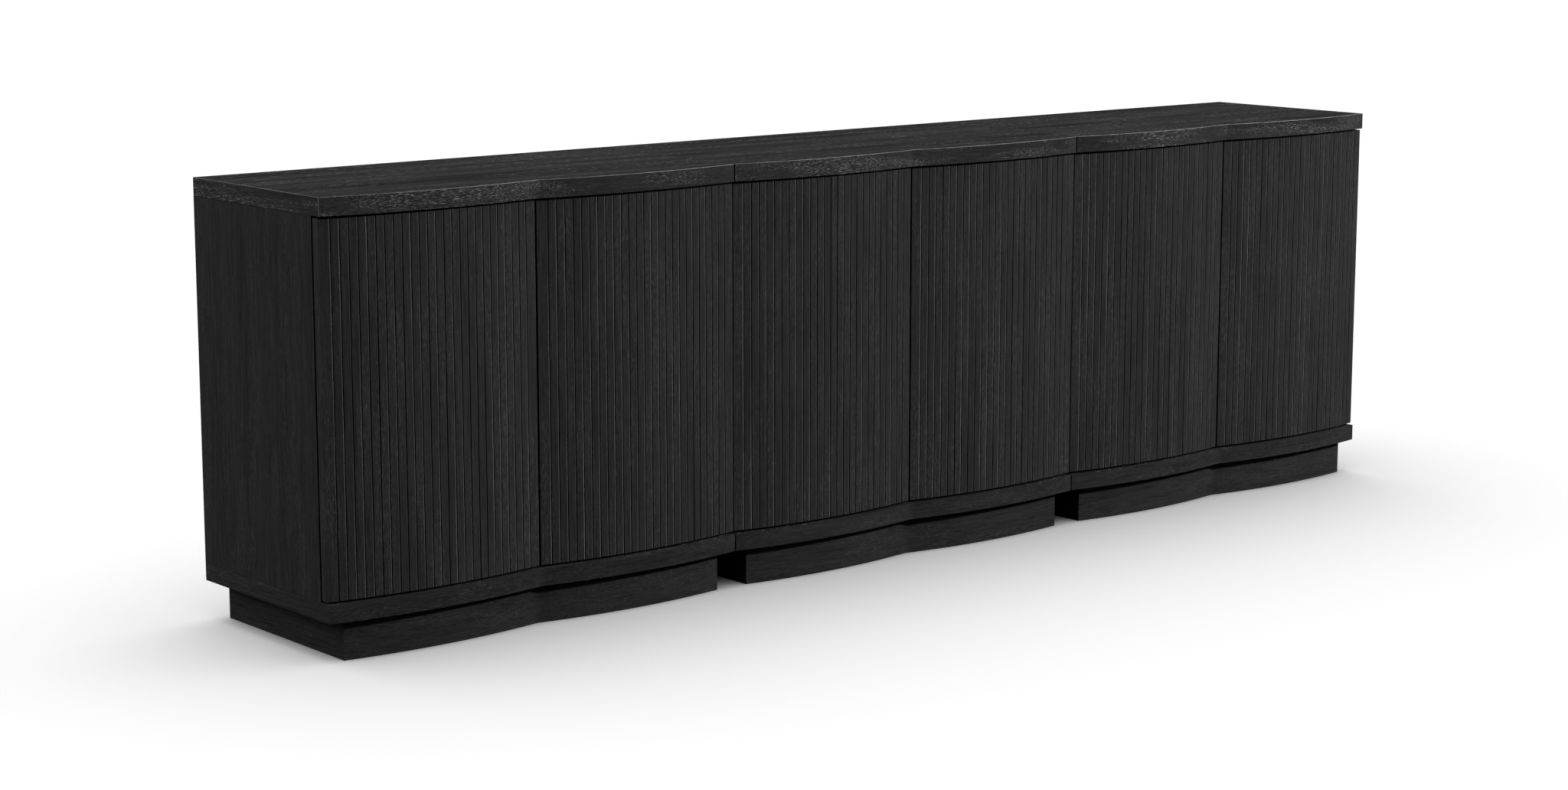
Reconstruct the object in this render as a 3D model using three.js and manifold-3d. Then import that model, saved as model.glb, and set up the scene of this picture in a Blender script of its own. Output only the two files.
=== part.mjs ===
// Sideboard of three two-door cabinets standing side by side, in black-stained oak.
// Each cabinet has a thick top and base slab with a scalloped front edge, two bowed and
// grooved doors between the slabs, and a recessed plinth. Millimetres, +Z up, front at -Y.
// The origin is on the floor, under the middle of the whole sideboard.
import * as THREE from "three";
import { mergeVertices } from "three/addons/utils/BufferGeometryUtils.js";
import Module from "manifold-3d";

const wasm = await Module();
wasm.setup();

// ---- driving dimensions -------------------------------------------------------------
const PITCH = 1016; // one cabinet and the joint beside it
const JOINT = 2; // gap between neighbouring cabinets
const DEPTH = 512; // back edge to the foremost point of the bows
const BOW = 24; // how far each bow stands in front of its ends
const HEIGHT = 920;
const SLAB = 38; // thickness of top and base
const PLINTH_HEIGHT = 82;
const PLINTH_END_INSET = 39;
const PLINTH_FRONT_INSET = 20;
const PLINTH_BACK_INSET = 25;
const PLINTH_BOARD = 18;

const SIDE = 19; // side panel thickness
const BACK = 9; // back panel thickness
const REBATE = 10; // width of the rebate that takes the back panel
const SHELF = 25;
const SHELF_TOP = 514;
const SHELF_END_GAP = 1;
const SHELF_BACK_GAP = 2;
const SHELF_FRONT_SETBACK = 22; // behind the front edges of the side panels

const DOOR = 18; // door thickness
const DOOR_SETBACK = 7; // door face behind the slab's edge
const DOOR_TOP_GAP = 4;
const DOOR_BASE_GAP = 5;
const DOOR_SEAM = 5; // between the two doors of a cabinet
const DOOR_END_INSET = 0.5;
const DOOR_TO_SIDE = 4.5; // shadow gap behind the door
const GROOVES = 25;
const GROOVE_WIDTH = 2.2;
const GROOVE_DEPTH = 2;
const END_RIB = 1.3; // width of a door's first and last rib, in grooves' pitches
const BOW_STEPS = 26;

const HINGE_AXIS_INSET = 12; // from the door's outer edge, at its front face
const CUP_INSET = 22; // cup centre from the door's outer edge
const CUP_RADIUS = 17.5;
const CUP_DEPTH = 11.5;
const CUP_WALL = 1;
const CUP_CLEARANCE = 0.3;
const CUP_PLATE = { length: 60, width: 13, thickness: 1.2 };
const HINGE_FROM_DOOR_END = 100;
const ARM = { height: 14, back: 62, inner: 3, root: 2.5, outer: 12 };
const NOSE = { start: 21.2, reach: 16.8, tip: 16, width: 3.2 }; // from the hinge axis
const ARM_PLATE = { height: 52, thickness: 3, front: 24, back: 50 };
const ROUND_STEPS = 20;

const HOUSING = { width: 70, height: 20, front: -198, back: -112 };
const PLUNGER_OFFSET = 20; // from the cabinet's middle
const PLUNGER = { radius: 4, tipRadius: 5.5, tipLength: 4, front: -207.5, back: -150 };
const PLUNGER_CLEARANCE = 0.4;
const PLUNGER_SPARE_BORE = 10;

// ---- places worked out from them -----------------------------------------------------
const HALF = (PITCH - JOINT) / 2; // half a cabinet's width
const REAR = DEPTH / 2;
const BASE_TOP = PLINTH_HEIGHT + SLAB;
const TOP_UNDER = HEIGHT - SLAB;
const BOW_MIDDLE = HALF / 2;
const BOW_RADIUS = (BOW_MIDDLE ** 2 + BOW ** 2) / (2 * BOW);
const BOW_CENTRE_Y = BOW_RADIUS - REAR;
const DOOR_OUTER = HALF - DOOR_END_INSET;
const DOOR_INNER = DOOR_SEAM / 2;
const DOOR_FOOT = BASE_TOP + DOOR_BASE_GAP;
const DOOR_HEAD = TOP_UNDER - DOOR_TOP_GAP;
const DOOR_BACK_SETBACK = DOOR_SETBACK + DOOR;
const SIDE_FRONT = Math.ceil(frontY(DOOR_OUTER, DOOR_BACK_SETBACK) + DOOR_TO_SIDE);
const SIDE_INNER = HALF - SIDE;

// The scalloped front, set back by some distance along its normals. One bow stands over
// each half of the cabinet, so x is taken as the distance from the cabinet's middle.
function frontY(x, setback) {
  const across = Math.abs(x) - BOW_MIDDLE;
  return BOW_CENTRE_Y - Math.sqrt((BOW_RADIUS - setback) ** 2 - across ** 2);
}

// How far the front is turned from the X axis at x, as an angle about Z.
function frontTurn(x, setback) {
  return Math.asin((x - BOW_MIDDLE) / (BOW_RADIUS - setback));
}

// Points along one bow from x = from to x = to.
function bowPoints(from, to, setback, steps = BOW_STEPS) {
  return Array.from({ length: steps + 1 }, (_, i) => {
    const x = from + ((to - from) * i) / steps;
    return new THREE.Vector2(x, frontY(x, setback));
  });
}

// ---- materials -----------------------------------------------------------------------
const oak = (tone) => new THREE.MeshStandardMaterial({ color: tone, roughness: 0.62, metalness: 0 });
const steel = () => new THREE.MeshStandardMaterial({ color: 0xb4b6b8, roughness: 0.32, metalness: 1 });
const plastic = () => new THREE.MeshStandardMaterial({ color: 0x1a1a1b, roughness: 0.5, metalness: 0 });
const SLAB_TONE = 0x262626;
const PANEL_TONE = 0x222222;
const INSIDE_TONE = 0x1e1e1e;

// ---- solids --------------------------------------------------------------------------
function toManifold(geometry) {
  const bare = geometry.index ? geometry.toNonIndexed() : geometry.clone();
  bare.deleteAttribute("normal");
  bare.deleteAttribute("uv");
  const merged = mergeVertices(bare, 1e-4);
  return new wasm.Manifold(
    new wasm.Mesh({
      numProp: 3,
      vertProperties: merged.attributes.position.array,
      triVerts: new Uint32Array(merged.index.array),
    }),
  );
}

function fromManifold(solid) {
  const { vertProperties, triVerts } = solid.getMesh();
  const geometry = new THREE.BufferGeometry();
  geometry.setAttribute("position", new THREE.BufferAttribute(vertProperties, 3));
  geometry.setIndex(new THREE.BufferAttribute(triVerts, 1));
  const flat = geometry.toNonIndexed();
  flat.computeVertexNormals();
  return flat;
}

function box(x0, x1, y0, y1, z0, z1) {
  const geometry = new THREE.BoxGeometry(x1 - x0, y1 - y0, z1 - z0);
  return geometry.translate((x0 + x1) / 2, (y0 + y1) / 2, (z0 + z1) / 2);
}

// An outline in plan, drawn up from z0 to z1.
function upright(points, z0, z1, hole) {
  const shape = new THREE.Shape(points);
  if (hole) shape.holes.push(new THREE.Path(hole));
  const geometry = new THREE.ExtrudeGeometry(shape, { depth: z1 - z0, bevelEnabled: false });
  return geometry.translate(0, 0, z0);
}

// A round solid about +Y, from a profile of [radius, y] pairs.
function turned(profile) {
  const points = profile.map(([radius, y]) => new THREE.Vector2(radius, y));
  return new THREE.LatheGeometry(points, ROUND_STEPS);
}

function place(group, name, geometry, material) {
  const mesh = new THREE.Mesh(geometry, material);
  mesh.name = name;
  group.add(mesh);
  return mesh;
}

// ---- pieces of one cabinet -----------------------------------------------------------
// The plan of a slab or a plinth: two bows in front, straight ends and back.
function scallopedPlan(halfWidth, setback, rear) {
  return [
    ...bowPoints(-halfWidth, 0, setback),
    ...bowPoints(0, halfWidth, setback).slice(1),
    new THREE.Vector2(halfWidth, rear),
    new THREE.Vector2(-halfWidth, rear),
  ];
}

function slab(z0) {
  return upright(scallopedPlan(HALF, 0, REAR), z0, z0 + SLAB);
}

function plinth() {
  const rear = REAR - PLINTH_BACK_INSET;
  const halfWidth = HALF - PLINTH_END_INSET;
  const outside = scallopedPlan(halfWidth, PLINTH_FRONT_INSET, rear);
  const inside = scallopedPlan(
    halfWidth - PLINTH_BOARD,
    PLINTH_FRONT_INSET + PLINTH_BOARD,
    rear - PLINTH_BOARD,
  );
  return upright(outside, 0, PLINTH_HEIGHT, inside);
}

// Right-hand side panel, with a rebate for the back panel along its rear inner edge.
function sidePanel() {
  const plan = [
    [SIDE_INNER, SIDE_FRONT],
    [HALF, SIDE_FRONT],
    [HALF, REAR],
    [SIDE_INNER + REBATE, REAR],
    [SIDE_INNER + REBATE, REAR - BACK],
    [SIDE_INNER, REAR - BACK],
  ].map(([x, y]) => new THREE.Vector2(x, y));
  return upright(plan, BASE_TOP, TOP_UNDER);
}

function backPanel() {
  const half = SIDE_INNER + REBATE;
  return box(-half, half, REAR - BACK, REAR, BASE_TOP, TOP_UNDER);
}

function shelf() {
  const half = SIDE_INNER - SHELF_END_GAP;
  const rear = REAR - BACK - SHELF_BACK_GAP;
  return box(-half, half, SIDE_FRONT + SHELF_FRONT_SETBACK, rear, SHELF_TOP - SHELF, SHELF_TOP);
}

// Where the grooves of a door lie, from its inner to its outer edge.
function grooveCentres() {
  const pitch = (DOOR_OUTER - DOOR_INNER) / (GROOVES - 1 + 2 * END_RIB);
  return Array.from({ length: GROOVES }, (_, i) => DOOR_INNER + (END_RIB + i) * pitch);
}

// Right-hand door: flat ribs laid along the bow, a smooth back, and two hinge-cup holes.
function door() {
  const front = [new THREE.Vector2(DOOR_INNER, frontY(DOOR_INNER, DOOR_SETBACK))];
  for (const middle of grooveCentres()) {
    const [near, far] = [middle - GROOVE_WIDTH / 2, middle + GROOVE_WIDTH / 2];
    front.push(
      new THREE.Vector2(near, frontY(near, DOOR_SETBACK)),
      new THREE.Vector2(near, frontY(near, DOOR_SETBACK + GROOVE_DEPTH)),
      new THREE.Vector2(far, frontY(far, DOOR_SETBACK + GROOVE_DEPTH)),
      new THREE.Vector2(far, frontY(far, DOOR_SETBACK)),
    );
  }
  front.push(new THREE.Vector2(DOOR_OUTER, frontY(DOOR_OUTER, DOOR_SETBACK)));
  const rear = bowPoints(DOOR_OUTER, DOOR_INNER, DOOR_BACK_SETBACK, BOW_STEPS / 2);
  let solid = toManifold(upright([...front, ...rear], DOOR_FOOT, DOOR_HEAD));
  for (const z of hingeHeights()) {
    const radius = CUP_RADIUS + CUP_CLEARANCE;
    const depth = CUP_DEPTH + CUP_CLEARANCE;
    const past = 5;
    const cutter = turned([[0, -depth], [radius, -depth], [radius, past], [0, past]]);
    solid = solid.subtract(toManifold(onDoorBack(cutter, z)));
  }
  return fromManifold(solid);
}

function hingeHeights() {
  return [DOOR_FOOT + HINGE_FROM_DOOR_END, DOOR_HEAD - HINGE_FROM_DOOR_END];
}

// Moves a geometry made about the origin, facing +Y, to a hinge's seat on the door's back.
function onDoorBack(geometry, z) {
  const x = DOOR_OUTER - CUP_INSET;
  geometry.rotateZ(frontTurn(x, DOOR_BACK_SETBACK));
  return geometry.translate(x, frontY(x, DOOR_BACK_SETBACK), z);
}

// Concealed hinge cup: a pressed cup with a screw plate across its mouth.
function hingeCup(z) {
  const mouth = CUP_CLEARANCE + CUP_PLATE.thickness;
  const bowl = toManifold(
    turned([[0, -CUP_DEPTH], [CUP_RADIUS, -CUP_DEPTH], [CUP_RADIUS, mouth], [0, mouth]]),
  );
  const hollowRadius = CUP_RADIUS - CUP_WALL;
  const floor = CUP_WALL - CUP_DEPTH;
  const hollow = toManifold(
    turned([[0, floor], [hollowRadius, floor], [hollowRadius, mouth + 1], [0, mouth + 1]]),
  );
  const [across, along] = [CUP_PLATE.width / 2, CUP_PLATE.length / 2];
  const plate = toManifold(box(-across, across, CUP_CLEARANCE, mouth, -along, along));
  return onDoorBack(fromManifold(bowl.add(plate).subtract(hollow)), z);
}

// Hinge arm: a screw plate on the side panel and an arm whose nose reaches the cup.
function hingeArm(z) {
  const wall = SIDE_INNER;
  const axisX = DOOR_OUTER - HINGE_AXIS_INSET;
  const axisY = frontY(DOOR_OUTER, DOOR_SETBACK);
  const noseX = axisX - NOSE.reach;
  const rear = SIDE_FRONT + ARM.back;
  const plan = [
    [wall - ARM.root, rear],
    [wall - ARM.outer, rear],
    [wall - ARM.outer, axisY + NOSE.start + 8],
    [noseX - NOSE.width, axisY + NOSE.tip],
    [noseX, axisY + NOSE.tip],
    [wall - ARM.inner, axisY + NOSE.start],
    [wall - ARM.root, axisY + NOSE.start + 4],
  ].map(([x, y]) => new THREE.Vector2(x, y));
  const arm = toManifold(upright(plan, z - ARM.height / 2, z + ARM.height / 2));
  const plate = toManifold(
    box(
      wall - ARM_PLATE.thickness,
      wall,
      SIDE_FRONT + ARM_PLATE.front,
      SIDE_FRONT + ARM_PLATE.back,
      z - ARM_PLATE.height / 2,
      z + ARM_PLATE.height / 2,
    ),
  );
  return fromManifold(arm.add(plate));
}

// Twin push-latch housing under the top, with a blind bore for each plunger.
function latchHousing() {
  const half = HOUSING.width / 2;
  const foot = TOP_UNDER - HOUSING.height;
  let solid = toManifold(box(-half, half, HOUSING.front, HOUSING.back, foot, TOP_UNDER));
  const radius = PLUNGER.radius + PLUNGER_CLEARANCE;
  const end = PLUNGER.back + PLUNGER_SPARE_BORE;
  for (const x of [-PLUNGER_OFFSET, PLUNGER_OFFSET]) {
    const start = HOUSING.front - 1;
    const bore = turned([[0, start], [radius, start], [radius, end], [0, end]]);
    bore.translate(x, 0, TOP_UNDER - HOUSING.height / 2);
    solid = solid.subtract(toManifold(bore));
  }
  return fromManifold(solid);
}

// Right-hand plunger: a stem in the housing and a wider tip that the door presses.
function latchPlunger() {
  const tipEnd = PLUNGER.front + PLUNGER.tipLength;
  const geometry = turned([
    [0, PLUNGER.front],
    [PLUNGER.tipRadius, PLUNGER.front],
    [PLUNGER.tipRadius, tipEnd],
    [PLUNGER.radius, tipEnd],
    [PLUNGER.radius, PLUNGER.back],
    [0, PLUNGER.back],
  ]);
  return geometry.translate(PLUNGER_OFFSET, 0, TOP_UNDER - HOUSING.height / 2);
}

// ---- assembly ------------------------------------------------------------------------
function addHalf(cabinet, prefix, hand) {
  const half = new THREE.Group();
  half.scale.x = hand === "right" ? 1 : -1;
  cabinet.add(half);
  const name = `${prefix}_${hand}`;
  place(half, `${name}_side`, sidePanel(), oak(PANEL_TONE));
  place(half, `${name}_door`, door(), oak(PANEL_TONE));
  hingeHeights().forEach((z, i) => {
    const level = i === 0 ? "lower" : "upper";
    place(half, `${name}_hinge_cup_${level}`, hingeCup(z), steel());
    place(half, `${name}_hinge_arm_${level}`, hingeArm(z), steel());
  });
  place(half, `${name}_latch_plunger`, latchPlunger(), plastic());
}

function addCabinet(sideboard, prefix, middle) {
  const cabinet = new THREE.Group();
  cabinet.position.x = middle;
  sideboard.add(cabinet);
  place(cabinet, `${prefix}_plinth`, plinth(), oak(PANEL_TONE));
  place(cabinet, `${prefix}_base`, slab(PLINTH_HEIGHT), oak(SLAB_TONE));
  place(cabinet, `${prefix}_top`, slab(TOP_UNDER), oak(SLAB_TONE));
  place(cabinet, `${prefix}_back_panel`, backPanel(), oak(INSIDE_TONE));
  place(cabinet, `${prefix}_shelf`, shelf(), oak(INSIDE_TONE));
  place(cabinet, `${prefix}_latch_housing`, latchHousing(), plastic());
  for (const hand of ["left", "right"]) addHalf(cabinet, prefix, hand);
}

const sideboard = new THREE.Group();
addCabinet(sideboard, "left_cabinet", -PITCH);
addCabinet(sideboard, "middle_cabinet", 0);
addCabinet(sideboard, "right_cabinet", PITCH);

export default sideboard;
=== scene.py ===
"""Looks of a three-cabinet sideboard in black-stained oak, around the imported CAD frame."""

import math

import bmesh
import bpy
from mathutils import Matrix, Vector


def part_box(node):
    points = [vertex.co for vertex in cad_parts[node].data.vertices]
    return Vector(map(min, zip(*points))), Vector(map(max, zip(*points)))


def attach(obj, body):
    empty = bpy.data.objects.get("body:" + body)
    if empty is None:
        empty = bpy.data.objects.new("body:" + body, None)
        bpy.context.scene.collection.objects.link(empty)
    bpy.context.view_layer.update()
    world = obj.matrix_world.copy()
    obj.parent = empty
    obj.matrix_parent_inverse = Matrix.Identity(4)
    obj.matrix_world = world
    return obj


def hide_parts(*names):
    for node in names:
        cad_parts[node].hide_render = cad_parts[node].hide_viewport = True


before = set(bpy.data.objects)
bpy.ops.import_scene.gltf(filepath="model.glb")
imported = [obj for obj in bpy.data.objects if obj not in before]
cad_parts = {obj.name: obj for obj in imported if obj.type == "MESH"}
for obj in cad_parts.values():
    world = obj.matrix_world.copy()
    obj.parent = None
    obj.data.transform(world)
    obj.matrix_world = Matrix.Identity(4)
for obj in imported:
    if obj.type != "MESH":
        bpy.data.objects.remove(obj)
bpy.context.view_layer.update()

# ---- driving values, in metres ------------------------------------------------------
MM = 0.001
CABINETS = ("left_cabinet", "middle_cabinet", "right_cabinet")
HANDS = {"left": -1, "right": 1}
LEVELS = ("lower", "upper")

PITCH = 1016 * MM
BOW = 24 * MM  # how far each bow of the front stands out
CUSP_SOFTENING = 11 * MM  # half-width of the rounded hollow between two bows
PLINTH_SETBACK = 20 * MM
PLINTH_BOARD = 18 * MM
DOOR_SETBACK = 7 * MM
DOOR_THICKNESS = 18 * MM
GROOVES = 25
GROOVE_WIDTH = 2.2 * MM
GROOVE_DEPTH = 2 * MM
END_RIB = 1.3  # width of a door's end ribs, in groove pitches
DOOR_BACK_STEPS = 40
CUP_RADIUS = 17.8 * MM
CUP_DEPTH = 11.8 * MM
CUP_INSET = 22 * MM
DOOR_END_INSET = 0.5 * MM
PIN_RADIUS = 2.5 * MM  # of the bore
PIN_FIT = 0.96  # a pin's radius as a share of its bore's
PIN_REACH = 8 * MM  # each way from the side panel's face
PIN_NOSE = 0.6 * MM
PIN_BORE = 10 * MM
PIN_PITCH = 32 * MM
PINS_EACH_WAY = 4
PIN_FROM_EDGE = 60 * MM
ARM_PLATE_THICKNESS = 3 * MM
ARM_SCREW_BACK = 37 * MM  # behind the side panel's front edge
ARM_SCREW_RISE = 18 * MM
CUP_SCREW_RISE = 24 * MM
CUP_PLATE_TOP = 1.5 * MM  # proud of the door's back
BUMPER_FROM_END = 40 * MM
LATCH_SCREW_INSET = 9 * MM
BACK_SCREWS_A_SIDE = 5
BACK_SCREW_INSET = 7 * MM
BACK_SCREW_SINK = 0.6 * MM
BACK_SCREW_BORE = 3.8 * MM  # radius of the shallow bore round its head
CONNECTOR_FROM_END = 60 * MM
CONNECTOR_FROM_EDGE = 95 * MM
HINGE_SCREW = {"radius": 3.6 * MM, "rise": 1.5 * MM}
SMALL_SCREW = {"radius": 3.2 * MM, "rise": 0.6 * MM}

SLAB_ARRIS = 0.9 * MM
PANEL_ARRIS = 0.6 * MM
WORN_ARRIS = 0.7 * MM  # the rubbed edge of a rib
PLAIN_ARRIS = 0.3 * MM
HIGHLIGHT_TO_RIGHT = 0.25  # painted highlight on the edges, grown by this share for each metre to the right
HOUSING_ARRIS = 0.5 * MM
PLUNGER_ARRIS = 0.4 * MM
CUP_ARRIS = 0.25 * MM
ARM_ARRIS = 0.4 * MM
WELD_DISTANCE = 1e-6  # between corners that a CAD node's faces share
ARRIS_SEGMENTS = 2
WOOD_SHARP = math.radians(30)  # edges sharper than this are rounded, on wooden pieces
CAD_SHARP = math.radians(40)  # and on CAD nodes
SHADED_SHARP = math.radians(35)  # edges sharper than this are shaded as sharp

ARC_STEPS = 3
FRONT_STEPS = 72
PLINTH_INNER_STEPS = 36
HOLLOW_STEPS = 4  # each way from the middle
PIN_STEPS = 16
BACK_BORE_STEPS = 24
CUP_STEPS = 48

# Which of a piece's materials a face takes. A list of materials is in this order, and not
# every piece has a face for each of them.
# The fourth material, where a piece has one, is painted shade for its gaps, grooves and joints.
FACE, EDGE, CROSS, PAINTED_SHADE, INSIDE = range(5)
ALONG = INSIDE  # on a slab, the edging of its front

# How much of a normal lies along an axis for a face to count as facing that way or leaning to it.
SQUARE_ON = 0.9
LEANING = 0.3
TILTED = 0.2

BOARD_SHIFT = 3.71  # of the pattern, from one cabinet to the next
STREAK_SHARE = 0.55  # of the finer figure
LINE_SHARE = 0.45
PORE_COVER = 0.5  # how far a pore takes the colour towards its own
PORE_TONE = 0.35  # a pore's tone as a share of the dark wood's

SKY_HIGH = 1.4  # strength overhead, from where it falls to nothing at the horizon
SKY_TO_RIGHT = 0.25  # share by which the sky grows brighter for a unit of direction that way
SKY_TO_REAR = 0.35
KEY = {"name": "key_right", "place": (9.0, -8.4, 6.3), "size": 1.4, "power": 2950}
FILL = {"name": "fill_left", "place": (-9.9, 4.7, 7.0), "size": 12.0, "power": 1560}
FLOOR_SEEN = 1.5
FLOOR_BOUNCE = 0.2
FLOOR_REACH = 60.0

CAMERA_EYE = (-4.558, -5.306, 1.562)
CAMERA_TURN = -39.52  # degrees about the vertical, from looking along +Y
CAMERA_TILT = -9.94
CAMERA_LENS = 70.7
CAMERA_CLIP = 200


# ---- node helpers -------------------------------------------------------------------
class Graph:
    """A node tree with short ways to add and join nodes."""

    def __init__(self, tree):
        self.tree = tree
        tree.nodes.clear()

    def node(self, kind, inputs=None, **settings):
        made = self.tree.nodes.new(kind)
        for key, value in settings.items():
            setattr(made, key, value)
        for key, value in (inputs or {}).items():
            socket = made.inputs[key]
            if isinstance(value, bpy.types.NodeSocket):
                self.tree.links.new(value, socket)
            else:
                socket.default_value = value
        return made

    def math(self, operation, a, b=0.0, c=0.0):
        return self.node("ShaderNodeMath", {0: a, 1: b, 2: c}, operation=operation).outputs[0]

    def vector(self, operation, *inputs):
        made = self.node("ShaderNodeVectorMath", dict(enumerate(inputs)), operation=operation)
        return made.outputs[0]

    def place(self):
        return self.node("ShaderNodeTexCoord").outputs["Object"]

    def split(self, vector):
        return self.node("ShaderNodeSeparateXYZ", {0: vector}).outputs

    def joined(self, parts):
        """A vector from its parts, by axis number."""
        return self.node("ShaderNodeCombineXYZ", parts).outputs[0]

    def noise(self, vector, scale, detail=2.0, roughness=0.5):
        inputs = {"Vector": vector, "Scale": scale, "Detail": detail, "Roughness": roughness}
        return self.node("ShaderNodeTexNoise", inputs).outputs["Fac"]

    def ramp(self, fac, low, high):
        """0 up to low, 1 from high."""
        inputs = {"Value": fac, "From Min": low, "From Max": high}
        return self.node("ShaderNodeMapRange", inputs, clamp=True).outputs["Result"]

    def spread(self, fac, low, high):
        """low where fac is 0, high where it is 1."""
        inputs = {"Value": fac, "To Min": low, "To Max": high}
        return self.node("ShaderNodeMapRange", inputs).outputs["Result"]

    def mix(self, fac, a, b):
        # Inputs 6 and 7 and output 2 are the node's colour sockets.
        return self.node("ShaderNodeMix", {0: fac, 6: a, 7: b}, data_type="RGBA").outputs[2]

    def bump(self, height, strength, distance):
        inputs = {"Strength": strength, "Distance": distance, "Height": height}
        return self.node("ShaderNodeBump", inputs).outputs[0]

    def principled(self, inputs):
        shader = self.node("ShaderNodeBsdfPrincipled", inputs)
        self.node("ShaderNodeOutputMaterial", {"Surface": shader.outputs[0]})


def new_material(name):
    material = bpy.data.materials.new(name)
    material.use_nodes = True
    return material, Graph(material.node_tree)


def grey(value):
    return (value, value, value, 1)


# ---- materials ----------------------------------------------------------------------
def grain_space(graph, axis):
    """Object coordinates turned so that the grain runs along X."""
    parts = graph.split(graph.place())
    order = {"X": (0, 1, 2), "Y": (1, 0, 2), "Z": (2, 0, 1)}[axis]
    return graph.joined({i: parts[k] for i, k in enumerate(order)})


def stretched(graph, vector, along, across):
    return graph.vector("MULTIPLY", vector, (along, across, across))


def own_board(graph, space):
    """Shifts the pattern from one cabinet to the next, so that each has boards of its own."""
    x = graph.split(graph.place())[0]
    cabinet = graph.math("ROUND", graph.math("DIVIDE", x, PITCH))
    step = graph.math("MULTIPLY", cabinet, BOARD_SHIFT)
    return graph.vector("ADD", space, graph.joined({0: step, 1: step, 2: step}))


def waver(graph, space, wander):
    """Bends the grain a little off straight."""
    drift = graph.noise(stretched(graph, space, 1.2, 8.0), 1.0, 3.0)
    sideways = graph.joined({1: drift, 2: drift})
    return graph.vector("MULTIPLY_ADD", sideways, (0.0, wander, wander), space)


def oak(name, axis, dark=0.006, light=0.0235, glint=0.04, roughness=0.7, banding=0.3,
        bands_per_metre=34.0, fine=1.0, wander=0.02):
    """Black-stained open-grain oak, its grain along one axis. banding is the share of the
    broad growth bands in its figure, the rest being finer, and fine narrows that rest."""
    material, graph = new_material(name)
    wavy = waver(graph, own_board(graph, grain_space(graph, axis)), wander)

    def layer(along, across, low, high, detail=3.0):
        """Noise with this many cycles a metre along and across the grain."""
        pattern = graph.noise(stretched(graph, wavy, along, across), 1.0, detail, 0.6)
        return graph.ramp(pattern, low, high)

    bands = layer(0.9, bands_per_metre, 0.34, 0.66)
    streaks = layer(8.0, 200.0 * fine, 0.36, 0.66)
    lines = layer(20.0, 520.0 * fine, 0.36, 0.66)
    pores = layer(60.0, 1500.0, 0.52, 0.66, 2.0)
    # The light flecks, gathered in patches, are painted glints of light on the open pores.
    glints = layer(70.0, 870.0 * fine, 0.58, 0.70, 1.0)
    glint_patches = layer(3.0, 30.0, 0.42, 0.62, 2.0)

    tone = graph.math("MULTIPLY", bands, banding)
    tone = graph.math("MULTIPLY_ADD", streaks, (1 - banding) * STREAK_SHARE, tone)
    tone = graph.math("MULTIPLY_ADD", lines, (1 - banding) * LINE_SHARE, tone)
    colour = graph.mix(tone, grey(dark), grey(light))
    colour = graph.mix(graph.math("MULTIPLY", pores, PORE_COVER), colour, grey(dark * PORE_TONE))
    colour = graph.mix(graph.math("MULTIPLY", glints, glint_patches), colour, grey(glint))

    height = graph.math("SUBTRACT", graph.math("MULTIPLY", lines, 0.6), pores)
    graph.principled({
        "Base Color": colour,
        "Roughness": graph.spread(tone, roughness + 0.1, roughness - 0.08),
        "Normal": graph.bump(height, strength=0.5, distance=0.0003),
        "Specular IOR Level": 0.05,
    })
    return material


def oak_arris_wear_and_highlight(name, wear_and_light):
    """Edges where wear has thinned the stain, lightened further as a painted highlight: bare in
    some stretches, whole in others, and painted brighter towards the right.
    """
    material, graph = new_material(name)
    place = graph.place()

    def layer(x, y, z, low, high, detail=2.0):
        """Noise with this many cycles a metre along each axis."""
        scaled = graph.vector("MULTIPLY", place, (x, y, z))
        return graph.ramp(graph.noise(scaled, 1.0, detail), low, high)

    stretch = layer(37.0, 11.0, 1.1, 0.36, 0.68)
    chips = layer(160.0, 160.0, 26.0, 0.3, 0.72, 3.0)
    amount = graph.math("MULTIPLY", stretch, graph.math("MULTIPLY_ADD", chips, 0.4, 0.5))
    # The edges' painted highlight grows brighter towards the right.
    brighter_to_right = graph.math("MULTIPLY_ADD", graph.split(place)[0], HIGHLIGHT_TO_RIGHT, 1.1)
    amount = graph.math("MULTIPLY", amount, brighter_to_right)
    graph.principled({
        "Base Color": graph.mix(amount, grey(0.03), grey(wear_and_light)),
        "Roughness": 0.45,
        "Specular IOR Level": 0.3,
    })
    return material


def plated_metal(name, tone=0.6, roughness=0.4):
    """Dull nickel plate, its highlights spread wide."""
    material, graph = new_material(name)
    place = graph.place()
    lines = graph.noise(stretched(graph, place, 900.0, 160.0), 1.0, 3.0)
    soil = graph.ramp(graph.noise(place, 90.0, 3.0), 0.3, 0.75)
    graph.principled({
        "Base Color": graph.mix(soil, grey(tone * 0.8), grey(tone * 1.08)),
        "Roughness": graph.spread(lines, roughness - 0.06, roughness + 0.12),
        "Metallic": 0.7,
        "Normal": graph.bump(lines, strength=0.15, distance=0.0001),
    })
    return material


def moulded_plastic(name, tone=0.02, roughness=0.48):
    """Matt plastic or rubber with a fine spark-eroded grit and a slight cloudiness."""
    material, graph = new_material(name)
    place = graph.place()
    grit = graph.noise(place, 2400.0)
    cloud = graph.ramp(graph.noise(place, 60.0), 0.3, 0.7)
    graph.principled({
        "Base Color": graph.mix(cloud, grey(tone * 0.85), grey(tone * 1.15)),
        "Roughness": roughness,
        "Normal": graph.bump(grit, strength=0.2, distance=0.0001),
    })
    return material


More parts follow.
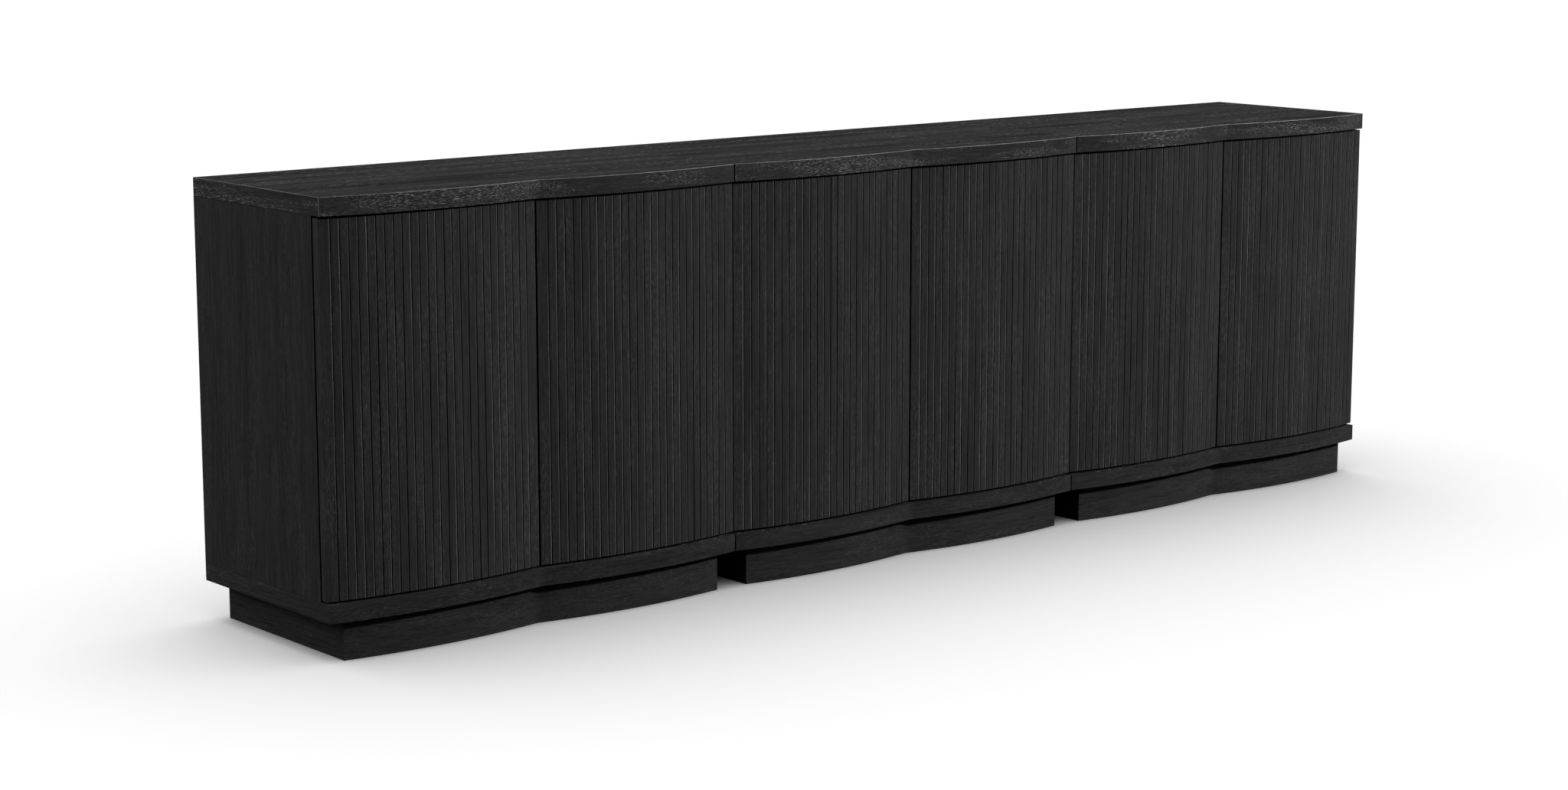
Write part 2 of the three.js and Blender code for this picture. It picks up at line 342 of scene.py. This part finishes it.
OAK_X = oak("oak_grain_lengthwise", "X")
OAK_TOP = oak(
    "oak_top_surface", "X", dark=0.003, light=0.021, glint=0.1, roughness=0.8, banding=0.55,
    bands_per_metre=20.0, fine=0.5,
)
OAK_Y = oak("oak_grain_front_to_back", "Y")
OAK_Z = oak("oak_grain_upright", "Z", banding=0.15, fine=1.3)
OAK_RIBS = oak(
    "oak_ribs", "Z", dark=0.007, light=0.025, glint=0.06, banding=0.1, fine=1.8, wander=0.006
)
OAK_EDGE_X = oak("oak_edging_lengthwise", "X", light=0.027, glint=0.2, fine=1.5)
OAK_EDGE_Y = oak("oak_edging_front_to_back", "Y", light=0.03, glint=0.16, fine=1.5)
OAK_INSIDE = oak("oak_inside", "Z", dark=0.03, light=0.06, glint=0.08)
OAK_SHELF = oak("oak_shelf", "X", dark=0.03, light=0.06, glint=0.08)
# Painted shade: a near-black finish for groove floors and walls, joints and gaps, darker than their
# real shade would make them.
OAK_PAINTED_SHADE = oak("oak_painted_shade_in_gaps", "Z", dark=0.002, light=0.005, glint=0.005, roughness=0.75)
# The edge finishes are wear with a painted highlight on top, strongest on the ribs.
EDGE_WEAR_AND_HIGHLIGHT = oak_arris_wear_and_highlight("oak_edge_wear_and_highlight", wear_and_light=0.16)
RIB_EDGE_WEAR_AND_HIGHLIGHT = oak_arris_wear_and_highlight("oak_rib_edge_wear_and_highlight", wear_and_light=0.42)
STEEL = plated_metal("nickel_steel")
PLASTIC = moulded_plastic("black_plastic")
RUBBER = moulded_plastic("grey_rubber", tone=0.09, roughness=0.7)


# ---- mesh helpers -------------------------------------------------------------------
def add_object(name, mesh, materials):
    piece = bpy.data.objects.new(name, mesh)
    bpy.context.scene.collection.objects.link(piece)
    for material in materials:
        mesh.materials.append(material)
    return piece


def round_edges(piece, width, sharp):
    bevel = piece.modifiers.new("arris", "BEVEL")
    bevel.width = width
    bevel.segments = ARRIS_SEGMENTS
    bevel.limit_method = "ANGLE"
    bevel.angle_limit = sharp
    return bevel


def soften(piece, width):
    """Rounds a wooden piece's sharp edges and gives the new faces the second material."""
    bevel = round_edges(piece, width, WOOD_SHARP)
    bevel.use_clamp_overlap = False
    bevel.material = EDGE


def carve(piece, cutters):
    """Cuts other objects' shapes out of a piece, once its modifiers are applied."""
    for cutter in cutters:
        cut = piece.modifiers.new("cut", "BOOLEAN")
        cut.operation = "DIFFERENCE"
        cut.solver = "EXACT"
        cut.object = cutter


def as_cutter(bm):
    mesh = bpy.data.meshes.new("cutter")
    bm.to_mesh(mesh)
    bm.free()
    return add_object("cutter", mesh, [])


def bore(piece, places, radius, depth, steps):
    """Round holes about each place's own Z axis, reaching depth to either side of it."""
    bm = bmesh.new()
    for place in places:
        bmesh.ops.create_cone(
            bm, cap_ends=True, segments=steps, radius1=radius, radius2=radius, depth=2 * depth,
            matrix=place,
        )
    carve(piece, [as_cutter(bm)])


def applied(piece):
    """A piece's mesh with its modifiers applied. The cutters are used up."""
    bpy.context.view_layer.update()
    done = piece.evaluated_get(bpy.context.evaluated_depsgraph_get())
    mesh = bpy.data.meshes.new_from_object(done)
    for cutter in [used.object for used in piece.modifiers if used.type == "BOOLEAN"]:
        bpy.data.objects.remove(cutter, do_unlink=True)
    return mesh


def settle(piece, wear_and_light=None):
    """Applies the modifiers, then shades it smooth with flat faces kept flat. A given function of a
    normal picks each rounded edge's material: plain, wear with a painted highlight, or painted
    shade."""
    mesh = applied(piece)
    piece.modifiers.clear()
    piece.data = mesh
    if wear_and_light:
        for face in mesh.polygons:
            if face.material_index == EDGE:
                face.material_index = wear_and_light(face.normal)
    mesh.shade_smooth()
    mesh.set_sharp_from_angle(angle=SHADED_SHARP)
    weighted = piece.modifiers.new("normals", "WEIGHTED_NORMAL")
    weighted.keep_sharp = True


def facing(point, normal, roll=0.0):
    """The place at a point whose own Z axis runs along the normal."""
    turn = Vector((0, 0, 1)).rotation_difference(Vector(normal)).to_matrix().to_4x4()
    return Matrix.Translation(point) @ turn @ Matrix.Rotation(roll, 4, "Z")


def prism(name, outline, z0, z1, materials, pick=None, hole=None, finishes=None):
    """An outline in plan drawn up from z0 to z1. pick(normal) gives a face's material,
    or finishes gives it for each side of the outline in turn."""
    mesh = bpy.data.meshes.new(name)
    bm = bmesh.new()
    loops = [outline] + ([hole] if hole else [])
    rims = []
    for points in loops:
        foot = [bm.verts.new((x, y, z0)) for x, y in points]
        head = [bm.verts.new((x, y, z1)) for x, y in points]
        for i in range(len(points)):
            j = (i + 1) % len(points)
            side = bm.faces.new((foot[i], foot[j], head[j], head[i]))
            if finishes:
                side.material_index = finishes[i]
        rims.append((foot, head))
    for side in (0, 1):
        if hole:
            edges = []
            for rim in rims:
                ring = rim[side]
                edges += [bm.edges.get((ring[i - 1], ring[i])) for i in range(len(ring))]
            bmesh.ops.triangle_fill(bm, edges=edges, use_beauty=True)
        else:
            bm.faces.new(rims[0][side])
    bmesh.ops.recalc_face_normals(bm, faces=bm.faces)
    if pick:
        for face in bm.faces:
            face.material_index = pick(face.normal)
    bm.to_mesh(mesh)
    bm.free()
    return add_object(name, mesh, materials)


def ends_cross(normal):
    """The two ends have their grain across."""
    return CROSS if abs(normal.x) > SQUARE_ON else FACE


def outward(cabinet):
    """Which way along X a cabinet has an open end, or 0."""
    return {CABINETS[0]: -1, CABINETS[-1]: 1}.get(cabinet, 0)


def edged(cabinet):
    """A slab's edging: round its front, along its open end, and painted shade where cabinets meet.
    """

    def pick(normal):
        if abs(normal.z) > SQUARE_ON or normal.y > SQUARE_ON:
            return FACE
        if abs(normal.x) < SQUARE_ON:
            return ALONG
        return CROSS if normal.x * outward(cabinet) > 0 else PAINTED_SHADE

    return pick


def slab_edges(cabinet, part):
    """A top's upper edge takes the wear finish with its painted highlight along its front and at
    the sideboard's ends, and both slabs' upright edges take painted shade where cabinets meet."""

    def wear_and_light(normal):
        at_end = abs(normal.x) > LEANING
        if at_end and normal.x * outward(cabinet) <= 0:
            return PAINTED_SHADE if abs(normal.z) < LEANING else FACE
        rubbed_and_highlit = part == "top" and normal.z > -TILTED and (at_end or normal.y < -LEANING)
        return EDGE if rubbed_and_highlit else FACE

    return wear_and_light


def sound(normal):
    """A piece whose edges aren't rubbed."""
    return FACE


def painted_shade_at_joints(normal):
    """A side panel's top and bottom edges lie in the shadow of the slabs, and take the painted
    shade.
    """
    return PAINTED_SHADE if abs(normal.z) > TILTED else FACE


# ---- the scalloped front -------------------------------------------------------------
class Front:
    """The two bows of one cabinet's front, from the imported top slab."""

    def __init__(self, cabinet):
        low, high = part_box(f"{cabinet}_top")
        self.middle = (low.x + high.x) / 2
        self.half = (high.x - low.x) / 2
        self.rear = high.y
        self.radius = ((self.half / 2) ** 2 + BOW**2) / (2 * BOW)
        self.centre_y = low.y + self.radius

    def y(self, x, setback):
        """The front's Y at x from the cabinet's middle, setback behind the slabs' front."""
        across = abs(x) - self.half / 2
        return self.centre_y - math.sqrt((self.radius - setback) ** 2 - across**2)

    def soft_y(self, x, setback):
        """As y, with the hollow at the middle rounded."""
        reach = CUSP_SOFTENING
        if abs(x) >= reach:
            return self.y(x, setback)
        step = 1e-5
        slope = (self.y(reach + step, setback) - self.y(reach, setback)) / step
        curve = slope / (2 * reach)
        return self.y(reach, setback) + curve * (x * x - reach * reach)

    def turn(self, x, setback):
        """The bow's slope at x, as an angle."""
        return math.asin((abs(x) - self.half / 2) / (self.radius - setback))

    def plan(self, half, setback, rear, steps=FRONT_STEPS):
        """An outline with the bows in front, half wide each way, and straight behind."""
        points = [-half + 2 * half * i / steps for i in range(steps + 1)]
        near = [CUSP_SOFTENING * k / HOLLOW_STEPS for k in range(-HOLLOW_STEPS, HOLLOW_STEPS + 1)]
        clear = CUSP_SOFTENING * 1.2  # leaves no sliver beside the hollow's own points
        xs = sorted({round(x, 6) for x in points if abs(x) > clear} | set(near))
        front = [(self.middle + x, self.soft_y(x, setback)) for x in xs]
        return front + [(self.middle + half, rear), (self.middle - half, rear)]


# ---- wooden pieces ---------------------------------------------------------------------
def make_slab(cabinet, part):
    low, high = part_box(f"{cabinet}_{part}")
    front = Front(cabinet)
    plan = front.plan(front.half, 0.0, front.rear)
    across, along = (OAK_EDGE_Y, OAK_EDGE_X) if part == "top" else (OAK_Y, OAK_X)
    materials = [OAK_TOP, EDGE_WEAR_AND_HIGHLIGHT, across, OAK_PAINTED_SHADE, along]
    piece = prism(f"{cabinet}_{part}_board", plan, low.z, high.z, materials, edged(cabinet))
    soften(piece, SLAB_ARRIS)
    return piece


def make_plinth(cabinet):
    low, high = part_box(f"{cabinet}_plinth")
    front = Front(cabinet)
    half = (high.x - low.x) / 2
    board = PLINTH_BOARD
    outer = front.plan(half, PLINTH_SETBACK, high.y)
    inner = front.plan(
        half - board, PLINTH_SETBACK + board, high.y - board, PLINTH_INNER_STEPS
    )
    materials = [OAK_X, EDGE_WEAR_AND_HIGHLIGHT, OAK_Y]
    piece = prism(f"{cabinet}_plinth_frame", outer, low.z, high.z, materials, ends_cross, inner)
    soften(piece, PANEL_ARRIS)
    return piece


def make_box(name, node, materials):
    low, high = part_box(node)
    plan = [(low.x, low.y), (high.x, low.y), (high.x, high.y), (low.x, high.y)]
    piece = prism(name, plan, low.z, high.z, materials)
    soften(piece, PANEL_ARRIS)
    return piece


def inner_wall(cabinet, hand):
    """The X of a side panel's inner face."""
    low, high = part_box(f"{cabinet}_{hand}_side")
    return low.x if hand == "right" else high.x


def pin_places(cabinet, hand):
    """Where a side panel is bored for shelf pins: the rows, and the two that hold the shelf."""
    low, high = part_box(f"{cabinet}_shelf")
    wall = inner_wall(cabinet, hand)
    rows = (low.y + PIN_FROM_EDGE, high.y - PIN_FROM_EDGE)
    level = low.z - PIN_RADIUS
    steps = range(-PINS_EACH_WAY, PINS_EACH_WAY + 1)
    bored = [(wall, y, level + i * PIN_PITCH) for y in rows for i in steps]
    return bored, [(wall, y, level) for y in rows]


def back_screws(cabinet):
    """The places of the screws round a back panel, at the floors of their bores."""
    low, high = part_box(f"{cabinet}_back_panel")
    inset = BACK_SCREW_INSET
    gaps = BACK_SCREWS_A_SIDE - 1

    def spaced(start, end):
        return [start + inset + (end - start - 2 * inset) * i / gaps for i in range(gaps + 1)]

    columns, levels = spaced(low.x, high.x), spaced(low.z, high.z)
    rim = [(x, z) for x in columns for z in levels if x in columns[::gaps] or z in levels[::gaps]]
    floor = high.y - BACK_SCREW_SINK
    # The last value leaves each cross at a turn of its own.
    return [facing((x, floor, z), (0, 1, 0), x * 7 + z * 5) for x, z in rim]


def make_back(cabinet):
    piece = make_box(f"{cabinet}_back_board", f"{cabinet}_back_panel", [OAK_INSIDE, EDGE_WEAR_AND_HIGHLIGHT])
    surface = Matrix.Translation((0, 0, BACK_SCREW_SINK))
    places = [place @ surface for place in back_screws(cabinet)]
    bore(piece, places, BACK_SCREW_BORE, BACK_SCREW_SINK, BACK_BORE_STEPS)
    seat(piece, f"{cabinet}_back_panel")


def make_side(cabinet, hand):
    node = f"{cabinet}_{hand}_side"
    low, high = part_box(node)
    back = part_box(f"{cabinet}_back_panel")
    outer, inner = (high.x, low.x) if hand == "right" else (low.x, high.x)
    ledge = back[1].x if hand == "right" else back[0].x
    plan = [
        (inner, low.y), (outer, low.y), (outer, high.y),
        (ledge, high.y), (ledge, back[0].y), (inner, back[0].y),
    ]

    def pick(normal):
        # A side panel's front edge, behind the doors, takes the painted shade.
        if normal.y < -SQUARE_ON:
            return PAINTED_SHADE
        return INSIDE if normal.x * HANDS[hand] < -SQUARE_ON else FACE

    materials = [OAK_Z, EDGE_WEAR_AND_HIGHLIGHT, OAK_Y, OAK_PAINTED_SHADE, OAK_INSIDE]
    piece = prism(f"{cabinet}_{hand}_side_panel", plan, low.z, high.z, materials, pick)
    soften(piece, PANEL_ARRIS)
    bored = [facing(place, (1, 0, 0)) for place in pin_places(cabinet, hand)[0]]
    bore(piece, bored, PIN_RADIUS, PIN_BORE, PIN_STEPS)
    seat(piece, node, painted_shade_at_joints)


def door_outline(front, low, high):
    """A door in plan, from its left end: grooved front, plain concentric back.
    Gives the points, and the finish of the side that starts at each."""
    points, finishes = [], []

    def add(x, depth, finish):
        points.append((front.middle + x, front.y(x, DOOR_SETBACK) + depth))
        finishes.append(finish)

    def rounded_edge(x, radius, turn, finish):
        """A quarter round from the face (turn 1) or back to it (turn -1) at x."""
        for step in range(ARC_STEPS + 1):
            part = step if turn > 0 else ARC_STEPS - step
            angle = math.pi / 2 * part / ARC_STEPS
            across = radius * (1 - math.sin(angle))
            add(x - turn * across, radius * (1 - math.cos(angle)), finish)

    pitch = (high - low) / (GROOVES - 1 + 2 * END_RIB)
    start = low
    for i in range(GROOVES + 1):
        last = i == GROOVES
        end = high if last else low + (END_RIB + i) * pitch - GROOVE_WIDTH / 2
        rounded_edge(start, PLAIN_ARRIS, -1, FACE)
        for part in (1 / 3, 2 / 3):
            add(start + (end - start) * part, 0.0, FACE)
        # A rib's right-hand edge takes the wear finish with its painted highlight, and its
        # left-hand edge stays plain.
        rounded_edge(end, PLAIN_ARRIS if last else WORN_ARRIS, 1, EDGE)
        if not last:
            # The groove's walls and floor take the painted shade.
            finishes[-1] = PAINTED_SHADE
            start = end + GROOVE_WIDTH
            add(end, GROOVE_DEPTH, PAINTED_SHADE)
            add(start, GROOVE_DEPTH, PAINTED_SHADE)
    # A door's end at the middle of the cabinet is in shadow, facing the other door's, and takes the
    # painted shade.
    finishes[-1] = PAINTED_SHADE if abs(high) < abs(low) else FACE
    for i in range(DOOR_BACK_STEPS + 1):
        x = high + (low - high) * i / DOOR_BACK_STEPS
        points.append((front.middle + x, front.y(x, DOOR_SETBACK + DOOR_THICKNESS)))
        finishes.append(INSIDE)
    finishes[-1] = PAINTED_SHADE if abs(low) < abs(high) else FACE
    return points, finishes


def on_door_back(front, hand, x, z, roll=0.0):
    """A place on a closed door's back, x from the cabinet's middle, its Z axis pointing inwards."""
    back = DOOR_SETBACK + DOOR_THICKNESS
    spin = Matrix.Rotation(front.turn(x, back) * HANDS[hand], 4, "Z")
    spot = Matrix.Translation((front.middle + HANDS[hand] * x, front.y(x, back), z))
    return spot @ spin @ facing((0, 0, 0), (0, 1, 0), roll)


def cup_x(front):
    """How far a door's hinge cups are from the cabinet's middle."""
    return front.half - DOOR_END_INSET - CUP_INSET


def cup_height(cabinet, hand, level):
    low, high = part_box(f"{cabinet}_{hand}_hinge_cup_{level}")
    return (low.z + high.z) / 2


def make_door(cabinet, hand):
    node = f"{cabinet}_{hand}_door"
    low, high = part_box(node)
    front = Front(cabinet)
    points, finishes = door_outline(front, low.x - front.middle, high.x - front.middle)
    materials = [OAK_RIBS, RIB_EDGE_WEAR_AND_HIGHLIGHT, OAK_Y, OAK_PAINTED_SHADE, OAK_INSIDE]
    name = f"{cabinet}_{hand}_door_panel"
    piece = prism(name, points, low.z, high.z, materials, finishes=finishes)
    heights = [cup_height(cabinet, hand, level) for level in LEVELS]
    cups = [on_door_back(front, hand, cup_x(front), z) for z in heights]
    bore(piece, cups, CUP_RADIUS, CUP_DEPTH, CUP_STEPS)
    settle(piece)
    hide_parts(node)
    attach(piece, f"{cabinet}_{hand}_door_leaf")


def seat(piece, node, wear_and_light=sound):
    """Finishes a piece that stands for a node of the joined carcasses."""
    settle(piece, wear_and_light)
    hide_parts(node)
    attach(piece, "root")


def make_cabinet(cabinet):
    for part in ("top", "base"):
        slab = make_slab(cabinet, part)
        seat(slab, f"{cabinet}_{part}", slab_edges(cabinet, part))
    seat(make_plinth(cabinet), f"{cabinet}_plinth")
    make_back(cabinet)
    shelf = make_box(f"{cabinet}_shelf_board", f"{cabinet}_shelf", [OAK_SHELF, EDGE_WEAR_AND_HIGHLIGHT])
    seat(shelf, f"{cabinet}_shelf")
    for hand in HANDS:
        make_side(cabinet, hand)
        make_door(cabinet, hand)


def finish_cad_node(node, material, arris):
    """Keeps a CAD node's shape, with softened edges and a finished material."""
    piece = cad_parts[node]
    piece.data.materials.clear()
    piece.data.materials.append(material)
    weld = piece.modifiers.new("weld", "WELD")
    weld.merge_threshold = WELD_DISTANCE
    round_edges(piece, arris, CAD_SHARP)


def make_hardware(cabinet):
    finish_cad_node(f"{cabinet}_latch_housing", PLASTIC, HOUSING_ARRIS)
    for hand in HANDS:
        finish_cad_node(f"{cabinet}_{hand}_latch_plunger", PLASTIC, PLUNGER_ARRIS)
        for level in LEVELS:
            finish_cad_node(f"{cabinet}_{hand}_hinge_cup_{level}", STEEL, CUP_ARRIS)
            finish_cad_node(f"{cabinet}_{hand}_hinge_arm_{level}", STEEL, ARM_ARRIS)


# ---- small fittings ---------------------------------------------------------------------
def in_mm(*points):
    return [(radius * MM, height * MM) for radius, height in points]


def turned(profile, steps=24):
    """A closed mesh turned about Z from (radius, height) points, from axis to axis."""
    bm = bmesh.new()
    rings = []
    for radius, height in profile:
        angles = [2 * math.pi * i / steps for i in range(steps if radius else 1)]
        points = [(radius * math.cos(a), radius * math.sin(a), height) for a in angles]
        rings.append([bm.verts.new(point) for point in points])
    for low, high in zip(rings, rings[1:]):
        for i in range(steps):
            j = (i + 1) % steps
            around = ((low, i), (low, j), (high, j), (high, i))
            corners = [ring[k % len(ring)] for ring, k in around]
            bm.faces.new(list(dict.fromkeys(corners)))
    bmesh.ops.recalc_face_normals(bm, faces=bm.faces)
    return bm


def template(bm, cutters=()):
    """The mesh of a small fitting, drawn once and then repeated."""
    mesh = bpy.data.meshes.new("fitting")
    bm.to_mesh(mesh)
    bm.free()
    piece = add_object("fitting", mesh, [])
    carve(piece, cutters)
    result = applied(piece)
    bpy.data.objects.remove(piece, do_unlink=True)
    return result


def screw_head(radius, rise):
    """A screw's head on z = 0, with a cross recess."""
    neck = 0.9 * radius
    foot = -0.6 * rise
    dome = [(radius * math.cos(a), rise * math.sin(a)) for a in (0, 0.35, 0.7, 1.05, 1.35)]
    bm = turned([(0, foot), (neck, foot)] + dome + [(0, rise)])
    slot_shape = Matrix.Diagonal((1.15 * radius, 0.26 * radius, 1.3 * rise, 1))
    cross = []
    for angle in (0, math.pi / 2):
        slot = bmesh.new()
        spin = Matrix.Rotation(angle, 4, "Z") @ Matrix.Translation((0, 0, rise))
        bmesh.ops.create_cube(slot, size=1.0, matrix=spin @ slot_shape)
        cross.append(as_cutter(slot))
    return template(bm, cross)


def shelf_pin():
    """A pin in its bore, with the nose that carries the shelf."""
    r = PIN_RADIUS * PIN_FIT
    tip = PIN_REACH + PIN_NOSE
    return template(turned([
        (0, -PIN_REACH), (r, -PIN_REACH), (r, PIN_REACH), (r * 0.8, tip), (0, tip),
    ]))


def strike_plate():
    """A round plate on a door's back, dished where the latch's plunger meets it."""
    profile = in_mm((0, -0.4), (8, -0.4), (8, 1.6), (7.6, 2), (3.4, 2), (2.4, 1.2), (0, 1.2))
    return template(turned(profile, 40))


def door_bumper():
    """A rubber stud on a side panel's front edge, where the door comes to rest."""
    profile = in_mm((0, -0.3), (4.5, -0.3), (4.5, 1.8), (4, 2.9), (2.6, 3.6), (0, 3.9))
    return template(turned(profile, 32))


def connector_bolt(length):
    """A bolt and its sleeve nut through two side panels, a low dome at each end."""
    half = length / 2
    near = [(r, half + h) for r, h in in_mm((6.5, 0), (6.5, 0.6), (5.2, 1.5), (3, 2))]
    far = [(r, -z) for r, z in reversed(near)]
    shank = [(3.4 * MM, -half), (3.4 * MM, half)]
    socket = [(r, half + h) for r, h in in_mm((2.2, 2), (2.2, 0.4), (0, 0.4))]
    return template(turned([(0, far[0][1])] + far + shank + near + socket))


def scatter(name, fitting, places, material, body="root"):
    """One piece made of a fitting's copies."""
    bm = bmesh.new()
    for place in places:
        copy = fitting.copy()
        copy.transform(place)
        bm.from_mesh(copy)
        bpy.data.meshes.remove(copy)
    mesh = bpy.data.meshes.new(name)
    bm.to_mesh(mesh)
    bm.free()
    piece = add_object(name, mesh, [material])
    settle(piece)
    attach(piece, body)


def door_fittings(cabinet, hand, drawn):
    """The screws of one door's hinges, and the plate that its latch plunger meets."""
    front = Front(cabinet)
    sign = HANDS[hand]
    plate_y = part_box(f"{cabinet}_{hand}_side")[0].y + ARM_SCREW_BACK
    plate_face = inner_wall(cabinet, hand) - sign * ARM_PLATE_THICKNESS
    proud = Matrix.Translation((0, 0, CUP_PLATE_TOP))
    on_plates, on_cups = [], []
    for level in LEVELS:
        z = cup_height(cabinet, hand, level)
        for step in (-1, 1):
            # The last value of each place leaves the crosses at turns of their own.
            spot = (plate_face, plate_y, z + step * ARM_SCREW_RISE)
            on_plates.append(facing(spot, (-sign, 0, 0), 0.5 + step + z))
            height = z + step * CUP_SCREW_RISE
            on_cups.append(on_door_back(front, hand, cup_x(front), height, step * 0.4 + z) @ proud)
    screw = drawn["hinge_screw"]
    scatter(f"{cabinet}_{hand}_hinge_plate_screws", screw, on_plates, STEEL)
    leaf = f"{cabinet}_{hand}_door_leaf"
    scatter(f"{cabinet}_{hand}_hinge_cup_screws", screw, on_cups, STEEL, leaf)
    low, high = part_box(f"{cabinet}_{hand}_latch_plunger")
    x = abs((low.x + high.x) / 2 - front.middle)
    place = on_door_back(front, hand, x, (low.z + high.z) / 2)
    plate = drawn["strike_plate"]
    scatter(f"{cabinet}_{hand}_strike_plate", plate, [place], STEEL, leaf)


def cabinet_fittings(cabinet, drawn):
    for hand in HANDS:
        door_fittings(cabinet, hand, drawn)
    pins, bumpers = [], []
    for hand, sign in HANDS.items():
        pins += [facing(place, (-sign, 0, 0)) for place in pin_places(cabinet, hand)[1]]
        low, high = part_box(f"{cabinet}_{hand}_side")
        for z in (low.z + BUMPER_FROM_END, high.z - BUMPER_FROM_END):
            bumpers.append(facing(((low.x + high.x) / 2, low.y, z), (0, -1, 0)))
    scatter(f"{cabinet}_shelf_pins", drawn["shelf_pin"], pins, STEEL)
    scatter(f"{cabinet}_door_bumpers", drawn["bumper"], bumpers, RUBBER)

    low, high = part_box(f"{cabinet}_latch_housing")
    middle = (low.x + high.x) / 2
    ends = (low.y + LATCH_SCREW_INSET, high.y - LATCH_SCREW_INSET)
    places = [facing((middle, y, low.z), (0, 0, -1), y * 9) for y in ends]
    screw = drawn["small_screw"]
    scatter(f"{cabinet}_latch_screws", screw, places, STEEL)
    scatter(f"{cabinet}_back_screws", screw, back_screws(cabinet), STEEL)


def join_cabinets():
    """Four bolts through each pair of neighbouring side panels."""
    places = []
    for near, far in zip(CABINETS, CABINETS[1:]):
        low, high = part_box(f"{near}_right_side")
        start, end = low.x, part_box(f"{far}_left_side")[1].x
        length = end - start
        for z in (low.z + CONNECTOR_FROM_END, high.z - CONNECTOR_FROM_END):
            for y in (low.y + CONNECTOR_FROM_EDGE, high.y - CONNECTOR_FROM_EDGE):
                places.append(facing(((start + end) / 2, y, z), (1, 0, 0)))
    scatter("cabinet_connectors", connector_bolt(length), places, STEEL)


# ---- studio ---------------------------------------------------------------------------
def make_floor():
    """White to the eye, though it returns little light to the furniture."""
    mesh = bpy.data.meshes.new("studio_floor")
    reach = FLOOR_REACH
    corners = [(-reach, -reach, 0), (reach, -reach, 0), (reach, reach, 0), (-reach, reach, 0)]
    mesh.from_pydata(corners, [], [(0, 1, 2, 3)])
    material, graph = new_material("studio_floor")
    seen = graph.node("ShaderNodeLightPath").outputs["Is Camera Ray"]
    shader = graph.node(
        "ShaderNodeBsdfDiffuse", {"Color": graph.mix(seen, grey(FLOOR_BOUNCE), grey(FLOOR_SEEN))}
    )
    graph.node("ShaderNodeOutputMaterial", {"Surface": shader.outputs[0]})
    floor = add_object("studio_floor", mesh, [material])
    return floor


def make_world():
    """White behind the object, and for light a soft sky, dim at the horizon and bright overhead."""
    world = bpy.data.worlds.new("studio")
    bpy.context.scene.world = world
    world.use_nodes = True
    graph = Graph(world.node_tree)
    direction = graph.node("ShaderNodeTexCoord").outputs["Generated"]
    parts = graph.split(direction)
    rise = graph.math("MAXIMUM", parts[2], 0.0)
    sky = graph.math("MULTIPLY", graph.math("MULTIPLY", rise, rise), SKY_HIGH)
    slope = graph.math("MULTIPLY_ADD", parts[0], SKY_TO_RIGHT, 1.0)
    slope = graph.math("MULTIPLY_ADD", parts[1], SKY_TO_REAR, slope)
    sky = graph.math("MULTIPLY", sky, slope)
    seen = graph.node("ShaderNodeLightPath").outputs["Is Camera Ray"]
    strength = graph.math("MAXIMUM", sky, seen)
    light = graph.node("ShaderNodeBackground", {"Color": grey(1.0), "Strength": strength})
    graph.node("ShaderNodeOutputWorld", {"Surface": light.outputs[0]})


def make_lamp(floor, name, place, size, power):
    """A round lamp aimed at the furniture and flagged off the floor."""
    data = bpy.data.lights.new(name, "AREA")
    data.shape = "DISK"
    data.size = size
    data.energy = power
    lamp = bpy.data.objects.new(name, data)
    bpy.context.scene.collection.objects.link(lamp)
    lamp.location = place
    lamp.rotation_euler = (-Vector(place)).to_track_quat("-Z", "Y").to_euler()
    shaded = bpy.data.collections.new(f"{name}_leaves_out")
    shaded.objects.link(floor)
    lamp.light_linking.receiver_collection = shaded
    shaded.collection_objects[0].light_linking.link_state = "EXCLUDE"


def make_camera():
    data = bpy.data.cameras.new("camera")
    data.lens = CAMERA_LENS
    camera = bpy.data.objects.new("camera", data)
    bpy.context.scene.collection.objects.link(camera)
    camera.location = CAMERA_EYE
    camera.rotation_euler = (math.radians(90 + CAMERA_TILT), 0, math.radians(CAMERA_TURN))
    data.clip_end = CAMERA_CLIP
    bpy.context.scene.camera = camera


bpy.context.scene.view_settings.view_transform = "Standard"
make_camera()
make_world()
studio_floor = make_floor()
for lamp in (KEY, FILL):
    make_lamp(studio_floor, **lamp)
fittings = {
    "hinge_screw": screw_head(**HINGE_SCREW),
    "small_screw": screw_head(**SMALL_SCREW),
    "strike_plate": strike_plate(),
    "bumper": door_bumper(),
    "shelf_pin": shelf_pin(),
}
for cabinet in CABINETS:
    make_cabinet(cabinet)
    make_hardware(cabinet)
    cabinet_fittings(cabinet, fittings)
join_cabinets()
